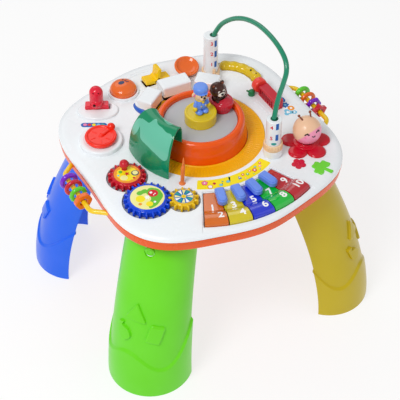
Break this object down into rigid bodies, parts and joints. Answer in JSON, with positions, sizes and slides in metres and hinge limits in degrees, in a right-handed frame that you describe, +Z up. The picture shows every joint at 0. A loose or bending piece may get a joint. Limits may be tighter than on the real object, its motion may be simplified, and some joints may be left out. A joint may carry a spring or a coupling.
{
  "type": "musical activity table",
  "caption": "Toddler activity table on C-shaped legs with a rotating centre ring, keyboard, drum blocks, gears, spinners and sliders.",
  "frame": {"origin": "centre of the bounding box's bottom face, on the floor under the middle of the table", "axes": "+Z up, +X to the right when facing the keyboard, +Y away from the keyboard side"},
  "size_m": [0.5414, 0.4794, 0.5296],
  "materials": {
    "deck_white": "gloss",
    "tray_orange": "gloss",
    "leg_green": "gloss",
    "leg_blue": "gloss",
    "leg_yellow": "gloss",
    "leg_red_orange": "gloss",
    "lock_white": "satin",
    "track_amber": "satin",
    "wall_orange": "gloss",
    "steel": "brushed",
    "disc_grey": "satin",
    "puck_yellow": "gloss",
    "bear_blue": "matte",
    "car_crimson": "gloss",
    "bear_brown": "matte",
    "tunnel_green": "gloss",
    "drum_white": "gloss",
    "button_orange": "gloss",
    "paddle_yellow": "gloss",
    "lever_red": "gloss",
    "dial_red": "gloss",
    "well_grey": "satin",
    "gear_red": "gloss",
    "gear_blue": "gloss",
    "gear_yellow": "gloss",
    "signal_orange": "gloss",
    "key_amber": "gloss",
    "key_yellow": "gloss",
    "key_blue": "gloss",
    "key_green": "gloss",
    "key_red": "gloss",
    "small_key_blue": "gloss",
    "bed_white": "matte",
    "post_white": "gloss",
    "arch_green": "satin",
    "hand_peach": "satin",
    "worm_gold": "gloss",
    "box_red": "gloss",
    "knob_red": "gloss",
    "petal_red": "gloss",
    "ball_peach": "gloss",
    "trim_red": "gloss",
    "loop_yellow": "gloss",
    "bead_purple": "gloss",
    "bead_green": "gloss",
    "black_plastic": "matte",
    "board_green": "satin",
    "cell_metal": "satin"
  },
  "bodies": {
    "table": {"top_shell": "deck_white", "base_tray": "tray_orange", "leg_plugs": "tray_orange", "leg_front_left": "leg_green", "leg_back_left": "leg_blue", "leg_front_right": "leg_yellow", "leg_back_right": "leg_red_orange", "leg_locks": "lock_white", "track_ring": "track_amber", "ring_wall": "wall_orange", "spindle": "steel", "tunnel": "tunnel_green", "gear_wells": "well_grey", "signal_post": "signal_orange", "key_bed": "bed_white", "number_posts": "post_white", "arch_tube": "arch_green", "ribbed_box": "box_red", "flower_base": "petal_red", "deck_trims": "trim_red", "loop_bars": "loop_yellow", "speaker": "black_plastic", "circuit_board": "board_green", "batteries": "cell_metal", "battery_door": "tray_orange", "case_screws": "steel"},
    "turntable_body": {"turntable": "disc_grey", "car": "car_crimson", "rider_bear": "bear_brown"},
    "puck_body": {"puck": "puck_yellow", "captain_bear": "bear_blue"},
    "drum_1": {"drum_block_1": "drum_white"},
    "drum_2": {"drum_block_2": "drum_white"},
    "drum_3": {"drum_block_3": "drum_white"},
    "dome": {"dome_button": "button_orange"},
    "dish": {"dish_button": "button_orange"},
    "paddles": {"paddle_spinner": "paddle_yellow"},
    "lever_body": {"lever": "lever_red"},
    "dial_body": {"dial": "dial_red"},
    "blue_gear": {"gear_blue": "gear_blue"},
    "red_gear": {"gear_red": "gear_red", "crank_knob": "gear_red"},
    "yellow_gear": {"gear_yellow": "gear_yellow"},
    "rear_hand": {"rear_pointer": "hand_peach"},
    "front_hand": {"front_pointer": "hand_peach"},
    "worm": {"worm_slider": "worm_gold"},
    "knob": {"box_knob": "knob_red"},
    "ball": {"face_ball": "ball_peach"},
    "left_hoops": {"left_rings": "bead_purple"},
    "right_hoops": {"right_rings": "bead_green"},
    "switch": {"power_switch": "black_plastic"},
    "key_1": {"key_1_2": "key_amber"},
    "key_2": {"key_3_4": "key_yellow"},
    "key_3": {"key_5_6": "key_blue"},
    "key_4": {"key_7_8": "key_green"},
    "key_5": {"key_9_10": "key_red"},
    "small_1": {"small_key_1": "small_key_blue"},
    "small_2": {"small_key_2": "small_key_blue"},
    "small_3": {"small_key_3": "small_key_blue"},
    "small_4": {"small_key_4": "small_key_blue"}
  },
  "joints": [
    {"name": "turntable_spin", "type": "hinge", "parent": "table", "child": "turntable_body", "pos_m": [0.008, 0.0086, 0.373], "axis": [0, 0, 1], "continuous": true},
    {"name": "puck_turn", "type": "hinge", "parent": "table", "child": "puck_body", "pos_m": [0.008, 0.0086, 0.3734], "axis": [0, 0, 1], "continuous": true},
    {"name": "drum_block_1_press", "type": "slide", "parent": "table", "child": "drum_1", "axis": [0, 0, -1], "range_m": [0, 0.004], "stiffness_N_per_m": 800, "springref_m": -0.002},
    {"name": "drum_block_2_press", "type": "slide", "parent": "table", "child": "drum_2", "axis": [0, 0, -1], "range_m": [0, 0.004], "stiffness_N_per_m": 800, "springref_m": -0.002},
    {"name": "drum_block_3_press", "type": "slide", "parent": "table", "child": "drum_3", "axis": [0, 0, -1], "range_m": [0, 0.004], "stiffness_N_per_m": 800, "springref_m": -0.002},
    {"name": "dome_press", "type": "slide", "parent": "table", "child": "dome", "axis": [0, 0, -1], "range_m": [0, 0.003], "stiffness_N_per_m": 900, "springref_m": -0.002},
    {"name": "dish_press", "type": "slide", "parent": "table", "child": "dish", "axis": [0, 0, -1], "range_m": [0, 0.003], "stiffness_N_per_m": 700, "springref_m": -0.002},
    {"name": "paddle_spin", "type": "hinge", "parent": "table", "child": "paddles", "pos_m": [0.01, 0.181, 0.346], "axis": [0, 1, 0], "continuous": true},
    {"name": "lever_tilt", "type": "hinge", "parent": "table", "child": "lever_body", "pos_m": [-0.123, 0.16, 0.347], "axis": [0.4384, 0.8988, 0], "range_deg": [-14, 14]},
    {"name": "dial_turn", "type": "hinge", "parent": "table", "child": "dial_body", "pos_m": [-0.157, 0.074, 0.3504], "axis": [0, 0, 1], "range_deg": [-45, 45]},
    {"name": "gear_blue_spin", "type": "hinge", "parent": "table", "child": "blue_gear", "pos_m": [-0.155, -0.098, 0.3374], "axis": [0, 0, 1], "continuous": true},
    {"name": "gear_red_spin", "type": "hinge", "parent": "table", "child": "red_gear", "pos_m": [-0.15858, -0.02969, 0.3374], "axis": [0, 0, 1], "continuous": true},
    {"name": "gear_yellow_spin", "type": "hinge", "parent": "table", "child": "yellow_gear", "pos_m": [-0.10071, -0.12626, 0.3374], "axis": [0, 0, 1], "continuous": true},
    {"name": "key_1_2_press", "type": "hinge", "parent": "table", "child": "key_1", "pos_m": [-0.04897, -0.12691, 0.336], "axis": [0.9219, -0.3875, 0], "range_deg": [0, 3.5], "stiffness_Nm_per_rad": 3, "springref_deg": -1.15},
    {"name": "key_3_4_press", "type": "hinge", "parent": "table", "child": "key_2", "pos_m": [-0.02357, -0.13497, 0.336], "axis": [0.9767, -0.2147, 0], "range_deg": [0, 3.5], "stiffness_Nm_per_rad": 3, "springref_deg": -1.15},
    {"name": "key_5_6_press", "type": "hinge", "parent": "table", "child": "key_3", "pos_m": [0.00287, -0.13831, 0.336], "axis": [0.9994, -0.0349, 0], "range_deg": [0, 3.5], "stiffness_Nm_per_rad": 3, "springref_deg": -1.15},
    {"name": "key_7_8_press", "type": "hinge", "parent": "table", "child": "key_4", "pos_m": [0.02947, -0.13682, 0.336], "axis": [0.9893, 0.1461, 0], "range_deg": [0, 3.5], "stiffness_Nm_per_rad": 3, "springref_deg": -1.15},
    {"name": "key_9_10_press", "type": "hinge", "parent": "table", "child": "key_5", "pos_m": [0.05537, -0.13056, 0.336], "axis": [0.9466, 0.3223, 0], "range_deg": [0, 3.5], "stiffness_Nm_per_rad": 3, "springref_deg": -1.15},
    {"name": "small_key_1_press", "type": "hinge", "parent": "table", "child": "small_1", "pos_m": [-0.03645, -0.13152, 0.336], "axis": [0.9532, -0.3024, 0], "range_deg": [0, 3], "stiffness_Nm_per_rad": 3, "springref_deg": -1.15},
    {"name": "small_key_2_press", "type": "hinge", "parent": "table", "child": "small_2", "pos_m": [-0.01042, -0.13724, 0.336], "axis": [0.9921, -0.1253, 0], "range_deg": [0, 3], "stiffness_Nm_per_rad": 3, "springref_deg": -1.15},
    {"name": "small_key_3_press", "type": "hinge", "parent": "table", "child": "small_3", "pos_m": [0.01621, -0.13817, 0.336], "axis": [0.9984, 0.0558, 0], "range_deg": [0, 3], "stiffness_Nm_per_rad": 3, "springref_deg": -1.15},
    {"name": "small_key_4_press", "type": "hinge", "parent": "table", "child": "small_4", "pos_m": [0.04257, -0.13428, 0.336], "axis": [0.972, 0.2351, 0], "range_deg": [0, 3], "stiffness_Nm_per_rad": 3, "springref_deg": -1.15},
    {"name": "rear_pointer_slide", "type": "slide", "parent": "table", "child": "rear_hand", "axis": [0, 0, 1], "range_m": [0, 0.06]},
    {"name": "front_pointer_slide", "type": "slide", "parent": "table", "child": "front_hand", "axis": [0, 0, 1], "range_m": [0, 0.045]},
    {"name": "worm_slide", "type": "hinge", "parent": "table", "child": "worm", "pos_m": [0.1115, 0.095, 0.3408], "axis": [0, 0, 1], "range_deg": [-6, 6]},
    {"name": "box_knob_turn", "type": "hinge", "parent": "table", "child": "knob", "pos_m": [0.16, 0.0504, 0.358], "axis": [0, 1, 0], "continuous": true},
    {"name": "face_ball_spin", "type": "hinge", "parent": "table", "child": "ball", "pos_m": [0.157, -0.107, 0.374], "axis": [0, 0, 1], "continuous": true},
    {"name": "left_rings_slide", "type": "slide", "parent": "table", "child": "left_hoops", "axis": [0, 1, 0], "range_m": [-0.006, 0.005]},
    {"name": "right_rings_slide", "type": "slide", "parent": "table", "child": "right_hoops", "axis": [0, 1, 0], "range_m": [-0.006, 0.005]},
    {"name": "power_switch_slide", "type": "slide", "parent": "table", "child": "switch", "axis": [1, 0, 0], "range_m": [0, 0.006]}
  ],
  "couplings": [
    {"joint": "gear_red_spin", "follows": "gear_blue_spin", "ratio": -1.2353},
    {"joint": "gear_yellow_spin", "follows": "gear_blue_spin", "ratio": -1.6154}
  ]
}
